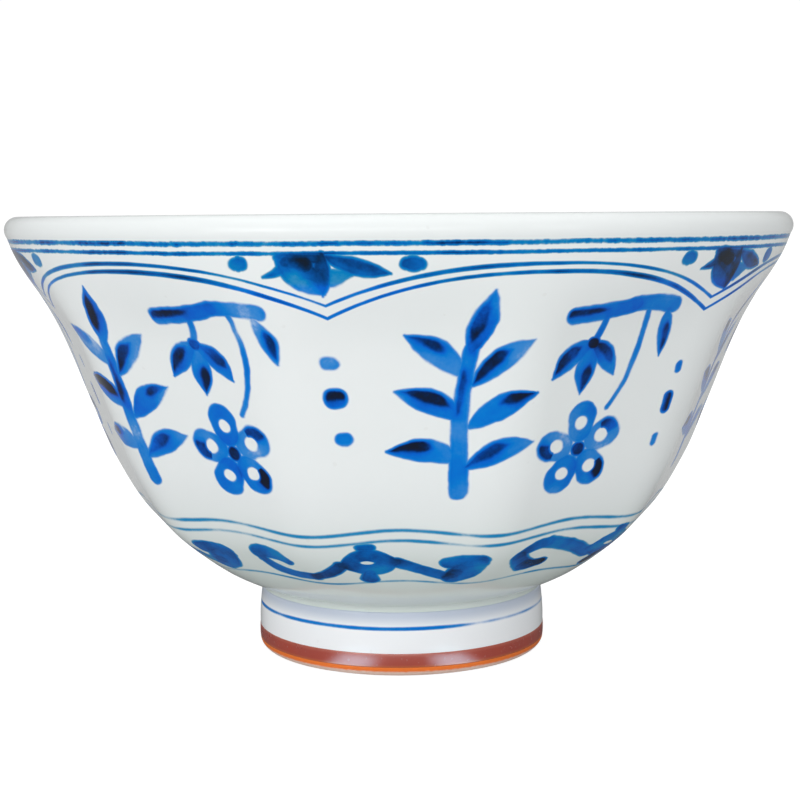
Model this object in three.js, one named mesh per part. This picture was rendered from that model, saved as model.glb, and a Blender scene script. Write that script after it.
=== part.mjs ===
// A porcelain teacup: a ten-sided bowl with a thick, flared lip, standing on a turned foot ring.
// The potter presses the bowl, lutes the ring under it with slip, and brushes an iron glaze round
// the ring's lower edge. Each of those four is a mesh of its own.
// Millimetres, +Z up. The origin is the middle of the circle on which the foot touches the table.
import * as THREE from "three";

// ---- driving dimensions ----
const height = 56.5; // table to the top of the lip
const rimRadius = 50; // outermost point of the lip
const lipRadius = 1.65; // rounding of the lip, half its thickness
const lipUnderAngle = 36; // degrees below the horizontal, where the flare runs into the lip
const lipInnerAngle = 162; // degrees above it, where the inside leaves the lip

const footHeight = 8.1; // table to the top of the foot ring
const footRadius = 18.8; // outside of the ring, at its widest
const footWidestHeight = 3.6;
const footNarrowing = 0.35; // how much narrower the ring is at its top, under the bowl
const footWall = 3.5; // thickness of the ring at its top
const footOpening = 0.6; // how much wider the ring's inside is at the table
const footRounding = 1.2; // corners of the ring on either side of the contact flat

const slipThickness = 0.6; // luting slip between ring and bowl
const slipBead = 0.12; // how far the smoothed slip stands out of the joint

const facetCount = 10;
const facetDepth = 1; // 1 cuts the sides flat, 0 leaves the bowl round
const facetGrowth = [0.04, 0.17]; // the facets grow between these shares of the bowl's height,
const facetFading = [0.7, 0.93]; // and fade away between these, so that foot and lip are round

const wallThickness = 2.5; // at the middle of a facet
const floorThickness = 3.6; // over the foot
const floorFlat = 0.3; // flat middle of the floor, as a share of the foot's radius

const bandTop = 3.0; // iron glaze on the foot: its upper and lower edge above the table
const bandBottom = 1.25;
const bandThickness = 0.35;

const turns = 60; // steps round the axis, a multiple of four and of the facet count
const outsideSteps = 22; // steps along the bowl's outside, from foot to lip
const insideSteps = 15;
const lipSteps = 11;
const cornerSteps = 3;
const flankSteps = 3; // on the foot ring, above the band

// ---- values that follow from them ----
const seatHeight = footHeight + slipThickness; // the bowl's flat underside
const bowlHeight = height - seatHeight;
const footTopRadius = footRadius - footNarrowing;
const flareReach = rimRadius - footTopRadius;
const lipCentre = point(rimRadius - lipRadius, height - lipRadius);
const apothemShare = Math.cos(Math.PI / facetCount); // middle of a flat side over its corner
const outsideCurve = makeOutsideCurve();
const outsideSamples = outsideCurve.getPoints(240);

// A point of a profile: distance from the axis, and height.
function point(radius, z) {
  return new THREE.Vector2(radius, z);
}

// Points of an arc, both ends included. Degrees run from straight outwards, up towards +Z.
function arc(centre, radius, from, to, steps) {
  const path = new THREE.Path();
  const [start, end] = [from, to].map(THREE.MathUtils.degToRad);
  path.absarc(centre.x, centre.y, radius, start, end, to < from);
  return path.getSpacedPoints(steps);
}

// The bowl's outside through the corners of its facets. Both numbers of a station are shares: of the
// way from foot to rim, and of the bowl's height.
function makeOutsideCurve() {
  const stations = [
    [0.187, 0.06],
    [0.455, 0.185],
    [0.612, 0.34],
    [0.714, 0.5],
    [0.81, 0.66],
    [0.922, 0.82],
  ];
  return new THREE.SplineCurve([
    point(footTopRadius, seatHeight),
    ...stations.map(([out, up]) => point(footTopRadius + out * flareReach, seatHeight + up * bowlHeight)),
    arc(lipCentre, lipRadius, -lipUnderAngle, lipInnerAngle, 1)[0],
  ]);
}

// Distance from the axis to the outside's corners, at a height.
function cornerRadius(z) {
  const above = Math.max(outsideSamples.findIndex((p) => p.y >= z), 1);
  const [low, high] = [outsideSamples[above - 1], outsideSamples[above]];
  return THREE.MathUtils.mapLinear(z, low.y, high.y, low.x, high.x);
}

// How flat the sides are at a height, from 0, round, to facetDepth.
function facetStrength(z) {
  const up = (z - seatHeight) / bowlHeight;
  const grown = THREE.MathUtils.smoothstep(up, ...facetGrowth);
  const left = 1 - THREE.MathUtils.smoothstep(up, ...facetFading);
  return facetDepth * Math.min(grown, left);
}

// What is left of a corner's radius at an angle from the front, where the middle of a side faces.
function facetShare(angle, strength) {
  const pitch = (2 * Math.PI) / facetCount;
  const fromMiddle = angle - pitch * Math.round(angle / pitch);
  return 1 - strength * (1 - apothemShare / Math.cos(fromMiddle));
}

// The bowl's round inside: the wall's thickness behind the flats, down to the flat of the floor.
function makeInsideCurve(start) {
  const floorHeight = seatHeight + floorThickness;
  const depth = height - floorHeight;
  const behindWall = (up, extra = 0) => {
    const z = floorHeight + up * depth;
    const flat = cornerRadius(z) * (1 - facetStrength(z) * (1 - apothemShare));
    return point(flat - wallThickness - extra * wallThickness, z);
  };
  const heel = behindWall(0.14, 0.35);
  return new THREE.SplineCurve([
    start,
    behindWall(0.8, 0.2),
    behindWall(0.6),
    behindWall(0.42),
    behindWall(0.26, 0.12),
    heel,
    point(THREE.MathUtils.lerp(floorFlat * footRadius, heel.x, 0.55), floorHeight + 0.045 * depth),
    point(floorFlat * footRadius, floorHeight),
  ]);
}

// A closed body of revolution about +Z, from a profile that runs anticlockwise: out, up and back.
function turned(profile) {
  return new THREE.LatheGeometry(profile, turns).rotateX(Math.PI / 2);
}

function bowlGeometry() {
  const outside = outsideCurve.getSpacedPoints(outsideSteps);
  const lip = arc(lipCentre, lipRadius, -lipUnderAngle, lipInnerAngle, lipSteps);
  const inside = makeInsideCurve(lip.at(-1)).getSpacedPoints(insideSteps);
  const underside = point(0, seatHeight);
  const floor = point(0, seatHeight + floorThickness);
  const profile = [underside, ...outside, ...lip.slice(1, -1), ...inside, floor];
  const geometry = turned(profile);
  const position = geometry.attributes.position;
  for (let i = 0; i < position.count; i++) {
    const row = i % profile.length;
    const isOutside = row >= 1 && row <= outside.length;
    if (!isOutside) continue;
    const [x, y, z] = [position.getX(i), position.getY(i), position.getZ(i)];
    const kept = facetShare(Math.atan2(x, -y), facetStrength(z));
    position.setXY(i, x * kept, y * kept);
  }
  return geometry;
}

// Outside radius of the foot ring at a height: it swells from under the bowl to its widest.
function flankRadius(z) {
  const down = THREE.MathUtils.clamp((footHeight - z) / (footHeight - footWidestHeight), 0, 1);
  return THREE.MathUtils.lerp(footTopRadius, footRadius, Math.sin((down * Math.PI) / 2));
}

// The iron band, from its lower outside corner round to its lower inside corner.
function bandCorners() {
  return [
    point(flankRadius(bandBottom), bandBottom),
    point(flankRadius(bandTop), bandTop),
    point(flankRadius(bandTop) - bandThickness, bandTop),
    point(flankRadius(bandBottom) - bandThickness, bandBottom),
  ];
}

function footRingGeometry() {
  const innerTop = footTopRadius - footWall;
  const innerBottom = innerTop + footOpening;
  const outerCorner = point(flankRadius(footRounding) - footRounding, footRounding);
  const innerCorner = point(innerBottom + footRounding, footRounding);
  const [bandLow, bandHigh, grooveHigh, grooveLow] = bandCorners();
  const flank = Array.from({ length: flankSteps }, (_, i) => {
    const z = THREE.MathUtils.lerp(bandTop, footHeight, (i + 1) / flankSteps);
    return point(flankRadius(z), z);
  });
  const profile = [
    ...arc(outerCorner, footRounding, -90, 0, cornerSteps),
    bandLow,
    grooveLow,
    grooveHigh,
    bandHigh,
    ...flank,
    point(innerTop, footHeight),
    ...arc(innerCorner, footRounding, -180, -90, cornerSteps),
  ];
  return turned([...profile, profile[0].clone()]);
}

function bandGeometry() {
  const corners = bandCorners();
  return turned([...corners, corners[0].clone()]);
}

// The slip fills the joint, and its wiped bead stands a little out of it on either side.
function slipGeometry() {
  const outer = footTopRadius;
  const inner = footTopRadius - footWall;
  const middle = footHeight + slipThickness / 2;
  const profile = [
    point(inner, footHeight),
    point(outer, footHeight),
    point(outer + slipBead, middle),
    point(outer, seatHeight),
    point(inner, seatHeight),
    point(inner - slipBead, middle),
  ];
  return turned([...profile, profile[0].clone()]);
}

const glazedWhite = { color: 0xe6ebec, roughness: 0.1, metalness: 0 };
const finishes = {
  porcelain: new THREE.MeshStandardMaterial(glazedWhite),
  foot: new THREE.MeshStandardMaterial(glazedWhite),
  slip: new THREE.MeshStandardMaterial({ color: 0xd6dad6, roughness: 0.2, metalness: 0 }),
  iron: new THREE.MeshStandardMaterial({ color: 0x8a4a42, roughness: 0.2, metalness: 0 }),
};

function piece(name, geometry, finish) {
  const mesh = new THREE.Mesh(geometry, finish);
  mesh.name = name;
  return mesh;
}

const teacup = new THREE.Group();
teacup.add(
  piece("bowl", bowlGeometry(), finishes.porcelain),
  piece("foot_ring", footRingGeometry(), finishes.foot),
  piece("luting_slip", slipGeometry(), finishes.slip),
  piece("iron_band", bandGeometry(), finishes.iron),
);

export default teacup;
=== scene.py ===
"""A brush-painted porcelain teacup: the fine surface and the glazes round its fixed frame.

The bowl, its foot ring, the luting slip between them and the iron band are turned from their
profiles, and the cobalt brushwork is painted on the wall by shader nodes. Places on the wall are
given as a potter marks them out: degrees round the cup from the front, growing towards +X, and the
climb, the distance walked up the outside of the wall from the foot.
"""

import math
from dataclasses import dataclass

import bmesh
import bpy
from bpy.props import FloatProperty, FloatVectorProperty, IntProperty, PointerProperty
from mathutils import Matrix, Vector


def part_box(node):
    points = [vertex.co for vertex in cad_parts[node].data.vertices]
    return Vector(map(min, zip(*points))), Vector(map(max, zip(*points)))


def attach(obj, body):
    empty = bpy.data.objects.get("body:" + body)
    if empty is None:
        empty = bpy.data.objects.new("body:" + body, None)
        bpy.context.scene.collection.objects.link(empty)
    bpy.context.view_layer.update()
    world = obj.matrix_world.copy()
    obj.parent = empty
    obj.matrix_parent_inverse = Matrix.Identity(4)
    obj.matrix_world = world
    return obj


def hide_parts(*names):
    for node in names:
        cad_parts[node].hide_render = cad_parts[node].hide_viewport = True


bl_info = {
    "name": "Painted Teacup",
    "version": (1, 0, 0),
    "blender": (4, 5, 0),
    "location": "3D View > Sidebar > Teacup",
    "description": "Turns and paints a ten-sided porcelain teacup round its fixed frame",
    "category": "Object",
}

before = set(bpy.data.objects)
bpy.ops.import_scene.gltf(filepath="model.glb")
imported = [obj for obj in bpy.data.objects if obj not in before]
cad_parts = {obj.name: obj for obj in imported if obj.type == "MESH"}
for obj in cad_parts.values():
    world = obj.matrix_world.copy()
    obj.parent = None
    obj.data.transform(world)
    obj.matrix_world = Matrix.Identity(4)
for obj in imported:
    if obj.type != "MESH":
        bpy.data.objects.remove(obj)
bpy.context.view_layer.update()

BODY = "root"
MM = 0.001
RIPPLE = 0.06 * MM  # relief of the glaze

bowl_low, bowl_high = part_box("bowl")
_, foot_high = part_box("foot_ring")
slip_low, slip_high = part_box("luting_slip")
band_low, band_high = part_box("iron_band")

# The corners of the bowl's sides: shares of the way from foot to rim, and of the bowl's height.
OUTSIDE_STATIONS = ((0.187, 0.06), (0.455, 0.185), (0.612, 0.34), (0.714, 0.5), (0.81, 0.66), (0.922, 0.82))
FACET_GROWTH = (0.04, 0.17)  # the flat sides grow between these shares of the bowl's height,
FACET_FADING = (0.7, 0.93)  # and fade away between these
FLOOR_FLAT = 0.3  # flat middle of the floor, as a share of the foot's radius
BOWL_STEPS = 360  # steps of the spin
FOOT_STEPS = 240

PAINTING = "brushwork"  # the bowl's UV map: turns round the cup, and decimetres of climb
CLIMB_UNIT = 100.0  # millimetres in one unit of that map
REPEATS = 6  # how often the painting repeats round the cup
POST_ANGLE = -10.0  # degrees from the front to the middle of one post, the column of dots
PERIOD = 360.0 / REPEATS
PANEL_ANGLE = POST_ANGLE + PERIOD / 2
DEGREES_PER_MM = 1.42  # of wall, where the flowers are painted
BORDER_CLIMBS = (56.84, 55.8)  # the two ragged lines under the lip, in millimetres of climb
OGEE_CLIMBS = (54.5, 53.6)  # the two ogee lines where they run highest,
OGEE_DROPS = (4.6, 5.2)  # and how far they come down to their points
OGEE_SHARPNESS = 2.4
OGEE_LEAN = 0.6  # degrees from a post to the point of the ogee lines
OGEE_CREEP = 2.2  # degrees by which the points creep towards the first post, to either side of it
BAND_CLIMBS = (21.2, 19.6)  # the pair of lines over the scroll
BAND_FOOT_CLIMB = 10.75  # the line under it
LOWEST_BORDER_INK = 47.0  # the border's lines stay above this climb,
HIGHEST_BAND_INK = 22.0  # and the scroll band's below this one
EDGING_TONE = (1.0, 1.12, 0.8)  # the cobalt of the border and of the scroll band is greyer

FILM_WIDTH = 36.0  # millimetres
FLOOR_RADIUS = 4.0
FLOOR_GLOW = 0.18  # the floor's own light on rough surfaces
MIRRORED_SOFTBOXES = ((-23.0, 9.0), (24.5, 8.5))  # bright strips on it: degrees, half widths
MIRROR_STRENGTH = 5.0
MIRROR_COLOUR = (0.5, 0.83, 1.0)
WHITE_LIGHT = (1.0, 1.0, 1.0)
CUP_MIDDLE = Vector((0.0, 0.0, 0.03))  # where the softboxes point


# ---- sizes and colours that a user would change ----


class BowlSettings(bpy.types.PropertyGroup):
    """Sizes of the bowl"""

    rim_radius: FloatProperty(
        name="Rim radius",
        description="Axis to the outermost point of the lip",
        default=bowl_high[0],
        unit="LENGTH",
    )
    height: FloatProperty(
        name="Height", description="Table to the top of the lip", default=bowl_high[2], unit="LENGTH"
    )
    seat_height: FloatProperty(
        name="Seat height",
        description="Table to the bowl's flat underside",
        default=bowl_low[2],
        unit="LENGTH",
    )
    lip_radius: FloatProperty(
        name="Lip rounding", description="Half the lip's thickness", default=1.65 * MM, unit="LENGTH"
    )
    wall: FloatProperty(
        name="Wall", description="Wall thickness at the middle of a side", default=2.5 * MM, unit="LENGTH"
    )
    floor: FloatProperty(
        name="Floor", description="Thickness of the floor over the foot", default=3.6 * MM, unit="LENGTH"
    )
    sides: IntProperty(name="Sides", description="How many flat sides the bowl has", default=10, min=3)
    edge_softness: FloatProperty(
        name="Edge softness",
        description="Angle either side of an edge over which the glaze rounds it",
        default=math.radians(4.5),
        unit="ROTATION",
    )


class FootSettings(bpy.types.PropertyGroup):
    """Sizes of the foot ring, its slip and its iron band"""

    radius: FloatProperty(
        name="Foot radius",
        description="Outside of the ring at its widest",
        default=foot_high[0],
        unit="LENGTH",
    )
    narrowing: FloatProperty(
        name="Narrowing",
        description="How much narrower the ring is at its top",
        default=0.35 * MM,
        unit="LENGTH",
    )
    height: FloatProperty(
        name="Ring height", description="Table to the top of the ring", default=foot_high[2], unit="LENGTH"
    )
    widest_height: FloatProperty(
        name="Widest height", description="Table to the widest point", default=3.6 * MM, unit="LENGTH"
    )
    wall: FloatProperty(
        name="Ring wall", description="Thickness of the ring at its top", default=3.5 * MM, unit="LENGTH"
    )
    opening: FloatProperty(
        name="Opening",
        description="How much wider the ring is inside, at the table",
        default=0.6 * MM,
        unit="LENGTH",
    )
    rounding: FloatProperty(
        name="Rounding", description="Radius of the ring's lower corners", default=1.2 * MM, unit="LENGTH"
    )
    fillet: FloatProperty(
        name="Slip fillet",
        description="Radius of the wiped slip in the corner",
        default=1.1 * MM,
        unit="LENGTH",
    )


class GlazeSettings(bpy.types.PropertyGroup):
    """Colours of the glazes, with painted light and shade in some of them"""

    white: FloatVectorProperty(
        name="White",
        description="Porcelain under clear glaze",
        default=(0.8, 0.83, 0.83),
        subtype="COLOR",
    )
    # Painted light: the ring's white is painted lighter than the bowl's white, to stand in for the light that
    # falls on the ring.
    lit_ring_white: FloatVectorProperty(
        name="Lit ring white",
        description="Porcelain of the ring, painted lighter as painted light",
        default=(0.95, 0.965, 0.98),
        subtype="COLOR",
    )
    # Painted shade: the pooled glaze is greener than the white and also darker, which paints shade on the
    # lower bowl.
    tinted_and_shaded: FloatVectorProperty(
        name="Tint And Shade",
        description="Clear glaze where it lies thick",
        default=(0.6, 0.68, 0.64),
        subtype="COLOR",
    )
    # Painted shadow: the ring's top under the bowl is hazed with cobalt and painted darker, where the bowl
    # shades it.
    hazed_and_shadowed: FloatVectorProperty(
        name="Hazed And Shadowed",
        description="Clear glaze that carries cobalt from a line",
        default=(0.5, 0.56, 0.67),
        subtype="COLOR",
    )
    iron: FloatVectorProperty(
        name="Iron", description="Red-brown iron glaze", default=(0.45, 0.06, 0.03), subtype="COLOR"
    )
    toasted: FloatVectorProperty(
        name="Toasted",
        description="Bare clay flashed by the kiln",
        default=(0.9, 0.2, 0.03),
        subtype="COLOR",
    )
    bare: FloatVectorProperty(
        name="Bare",
        description="Bare clay where the ring stands",
        default=(0.8, 0.62, 0.54),
        subtype="COLOR",
    )


class StageSettings(bpy.types.PropertyGroup):
    """Camera, floor and lights"""

    distance: FloatProperty(
        name="Distance", description="Camera to the cup's axis", default=210.9 * MM, unit="LENGTH"
    )
    eye_height: FloatProperty(
        name="Eye height", description="Table to the camera", default=56.1 * MM, unit="LENGTH"
    )
    pitch: FloatProperty(
        name="Pitch",
        description="How far the camera looks down",
        default=math.radians(6.48),
        unit="ROTATION",
    )
    roll: FloatProperty(
        name="Roll",
        description="How far the camera leans to its right",
        default=math.radians(0.425),
        unit="ROTATION",
    )
    lens: FloatProperty(name="Lens", description="Focal length in millimetres", default=72.4)


# ---- outlines: lists of (radius, height) ----


def arc(centre, radius, start, end, steps):
    """Points of an arc, both ends included. Degrees run from straight outwards, up towards +Z."""
    angles = [math.radians(start + (end - start) * i / steps) for i in range(steps + 1)]
    return [(centre[0] + radius * math.cos(a), centre[1] + radius * math.sin(a)) for a in angles]


def smooth_line(points, per_span):
    """A smooth line through given points, with per_span steps between neighbours."""
    ends = [points[0], *points, points[-1]]
    line = []
    for before, start, end, after in zip(ends, ends[1:], ends[2:], ends[3:]):
        for i in range(per_span):
            t = i / per_span
            line.append(tuple(_between(*quad, t) for quad in zip(before, start, end, after)))
    return [*line, tuple(points[-1])]


def _between(before, start, end, after, t):
    """One coordinate of a uniform Catmull-Rom span at t."""
    leaving, arriving = (end - before) / 2, (after - start) / 2
    cubic = 2 * (start - end) + leaving + arriving
    square = 3 * (end - start) - 2 * leaving - arriving
    return ((cubic * t + square) * t + leaving) * t + start


def evenly(points, steps):
    """The same line with its points an equal distance apart."""
    lengths = climbs(points)
    return [along(points, lengths, lengths[-1] * i / steps) for i in range(steps + 1)]


def climbs(points):
    """Distance walked to each point of a line."""
    total = [0.0]
    for a, b in zip(points, points[1:]):
        total.append(total[-1] + math.dist(a, b))
    return total


def along(points, lengths, distance):
    """The point of a line at a distance walked along it."""
    for i in range(1, len(points)):
        if distance <= lengths[i] or i == len(points) - 1:
            t = (distance - lengths[i - 1]) / max(lengths[i] - lengths[i - 1], 1e-12)
            return tuple(a + (b - a) * t for a, b in zip(points[i - 1], points[i]))


def ramp(value, low, high):
    """0 below low, 1 above high and a smooth step between."""
    t = min(max((value - low) / (high - low), 0.0), 1.0)
    return t * t * (3 - 2 * t)


class BowlOutline:
    """The bowl's profile, and how flat its sides are."""

    # Degrees on the lip where the outside arrives and where the inside leaves.
    LIP_UNDER, LIP_INNER = -36.0, 162.0

    def __init__(self, size, foot):
        self.size = size
        self.foot_radius = foot.radius
        self.seat_radius = foot.radius - foot.narrowing
        self.bowl_height = size.height - size.seat_height
        lip_centre = (size.rim_radius - size.lip_radius, size.height - size.lip_radius)
        self.lip = arc(lip_centre, size.lip_radius, self.LIP_UNDER, self.LIP_INNER, 24)
        reach = size.rim_radius - self.seat_radius
        stations = [
            (self.seat_radius + out * reach, size.seat_height + up * self.bowl_height)
            for out, up in OUTSIDE_STATIONS
        ]
        seat = (self.seat_radius, size.seat_height)
        self.outside = evenly(smooth_line([seat, *stations, self.lip[0]], 40), 84)
        self.climbs = climbs(self.outside)

    def radius_at_height(self, z):
        above = next((i for i, p in enumerate(self.outside) if p[1] >= z and i), len(self.outside) - 1)
        (r0, z0), (r1, z1) = self.outside[above - 1], self.outside[above]
        return r0 + (r1 - r0) * (z - z0) / (z1 - z0)

    def radius_at_climb(self, climb):
        return along(self.outside, self.climbs, climb)[0]

    def flatness(self, z):
        """0 where the bowl is round, 1 where its sides are flat."""
        up = (z - self.size.seat_height) / self.bowl_height
        return min(ramp(up, *FACET_GROWTH), 1 - ramp(up, *FACET_FADING))

    def side_share(self, angle):
        """Radius at an angle over the radius at an edge, with each edge rounded over."""
        pitch = 2 * math.pi / self.size.sides
        apothem = math.cos(pitch / 2)
        samples = [angle + self.size.edge_softness * k / 4 for k in range(-4, 5)]
        shares = [apothem / math.cos(a - pitch * round(a / pitch)) for a in samples]
        return sum(shares) / len(shares)

    def inside(self):
        """The round inside, from the lip down to the flat of the floor."""
        size = self.size
        floor_height = size.seat_height + size.floor
        depth = size.height - floor_height
        apothem = math.cos(math.pi / size.sides)
        floor_flat = FLOOR_FLAT * self.foot_radius

        def behind_wall(up, extra=0.0):
            z = floor_height + up * depth
            flat = self.radius_at_height(z) * (1 - self.flatness(z) * (1 - apothem))
            return flat - size.wall * (1 + extra), z

        heel = behind_wall(0.14, 0.35)
        return smooth_line(
            [
                self.lip[-1],
                behind_wall(0.8, 0.2),
                behind_wall(0.6),
                behind_wall(0.42),
                behind_wall(0.26, 0.12),
                heel,
                (floor_flat + 0.55 * (heel[0] - floor_flat), floor_height + 0.045 * depth),
                (floor_flat, floor_height),
            ],
            8,
        )


# ---- turning ----


def turn(profile, steps, closed=True):
    """Spins a profile round the Z axis into a bmesh, starting at the front."""
    shape = bmesh.new()
    travelled = shape.verts.layers.float.new("travelled")
    points = [shape.verts.new((0.0, -r, z)) for r, z in profile]
    for vert, distance in zip(points, climbs(profile)):
        vert[travelled] = distance
    pairs = list(zip(points, points[1:]))
    if closed:
        pairs.append((points[-1], points[0]))
    lines = [shape.edges.new(pair) for pair in pairs]
    bmesh.ops.spin(
        shape,
        geom=points + lines,
        cent=(0, 0, 0),
        axis=(0, 0, 1),
        angle=2 * math.pi,
        steps=steps,
        use_merge=True,
    )
    bmesh.ops.remove_doubles(shape, verts=shape.verts, dist=1e-7)
    bmesh.ops.dissolve_degenerate(shape, edges=shape.edges, dist=1e-8)
    bmesh.ops.recalc_face_normals(shape, faces=shape.faces)
    return shape


def angle_of(position):
    """Turn from the front towards +X, in radians."""
    return math.atan2(position[0], -position[1])


def make_piece(name, shape, node, materials):
    """Turns a bmesh into an object that stands for a node of the frame."""
    mesh = bpy.data.meshes.new(name)
    for face in shape.faces:
        face.smooth = True
    shape.to_mesh(mesh)
    shape.free()
    for material in materials:
        mesh.materials.append(material)
    piece = bpy.data.objects.new(name, mesh)
    bpy.context.scene.collection.objects.link(piece)
    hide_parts(node)
    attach(piece, BODY)
    return piece


# ---- shader nodes ----


class Desk:
    """Short calls that add nodes to one node tree and wire them up as they go."""

    ROW = 40  # nodes side by side in the editor
    SPACING = (180, -260)

    def __init__(self, tree):
        self.tree = tree

    def node(self, kind, inputs=None, **settings):
        node = self.tree.nodes.new(kind)
        row, column = divmod(len(self.tree.nodes), self.ROW)
        node.location = (self.SPACING[0] * column, self.SPACING[1] * row)
        for key, value in settings.items():
            setattr(node, key, value)
        for key, value in (inputs or {}).items():
            self.feed(node.inputs[key], value)
        return node

    def feed(self, socket, value):
        """Links a socket to an output, or sets its value."""
        if isinstance(value, bpy.types.NodeSocket):
            self.tree.links.new(value, socket)
        else:
            socket.default_value = value

    def math(self, operation, *values, clamp=False):
        node = self.node("ShaderNodeMath", dict(enumerate(values)), operation=operation, use_clamp=clamp)
        return node.outputs[0]

    def vector(self, operation, *values):
        """A vector operation. SCALE takes a vector and a number."""
        inputs = dict(enumerate(values))
        if operation == "SCALE":
            inputs = {0: values[0], "Scale": values[1]}
        node = self.node("ShaderNodeVectorMath", inputs, operation=operation)
        return node.outputs["Value" if operation in ("DOT_PRODUCT", "LENGTH") else "Vector"]

    def smooth(self, value, low, high, to_low=0.0, to_high=1.0):
        """A smooth step of value from low to high."""
        inputs = {"Value": value, "From Min": low, "From Max": high, "To Min": to_low, "To Max": to_high}
        return self.node("ShaderNodeMapRange", inputs, interpolation_type="SMOOTHSTEP").outputs["Result"]

    def mix(self, factor, a, b):
        """Mixes two colours."""
        node = self.node("ShaderNodeMix", data_type="RGBA")
        sockets = {s.identifier: s for s in node.inputs}
        for key, value in (("Factor_Float", factor), ("A_Color", a), ("B_Color", b)):
            self.feed(sockets[key], rgba(value))
        return next(s for s in node.outputs if s.identifier == "Result_Color")

    def blend(self, factor, a, b):
        """Mixes two numbers."""
        return self.math("MULTIPLY_ADD", factor, self.math("SUBTRACT", b, a), a)

    def noise(self, position, scale, detail=2.0, colour=False):
        """Soft noise, about 1 / scale metres from one lump to the next."""
        node = self.node("ShaderNodeTexNoise", {"Vector": position, "Scale": scale, "Detail": detail})
        return node.outputs["Color" if colour else "Fac"]

    def split(self, vector):
        return self.node("ShaderNodeSeparateXYZ", {"Vector": vector}).outputs

    def join(self, x, y, z=0.0):
        return self.node("ShaderNodeCombineXYZ", {"X": x, "Y": y, "Z": z}).outputs[0]

    def object_position(self):
        return self.node("ShaderNodeTexCoord").outputs["Object"]

    def degrees_round(self, position):
        """Degrees from the front towards +X."""
        x, y, _ = self.split(position)
        turned = self.math("ARCTAN2", x, self.math("MULTIPLY", y, -1.0))
        return self.math("MULTIPLY", turned, 180 / math.pi)

    def girth(self, position):
        """Distance from the cup's axis."""
        x, y, _ = self.split(position)
        return self.vector("LENGTH", self.join(x, y))


def rgba(value):
    """Gives a colour its alpha. Sockets and numbers pass unchanged."""
    if isinstance(value, (bpy.types.NodeSocket, float, int)):
        return value
    return (*value[:3], 1.0)


def new_group(name, inputs, outputs):
    """An empty shader node group: its desk, its input sockets and its output node."""
    group = bpy.data.node_groups.new(name, "ShaderNodeTree")
    for title, kind, default in inputs:
        socket = group.interface.new_socket(title, in_out="INPUT", socket_type="NodeSocket" + kind)
        socket.default_value = default
    for title, kind in outputs:
        group.interface.new_socket(title, in_out="OUTPUT", socket_type="NodeSocket" + kind)
    desk = Desk(group)
    return desk, desk.node("NodeGroupInput").outputs, desk.node("NodeGroupOutput").inputs


def use_group(desk, name, inputs):
    """Places a group in a tree and returns its outputs."""
    node = desk.node("ShaderNodeGroup", node_tree=bpy.data.node_groups[name])
    for key, value in inputs.items():
        desk.feed(node.inputs[key], value)
    return node.outputs


# ---- shared effects, each a node group ----


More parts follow.
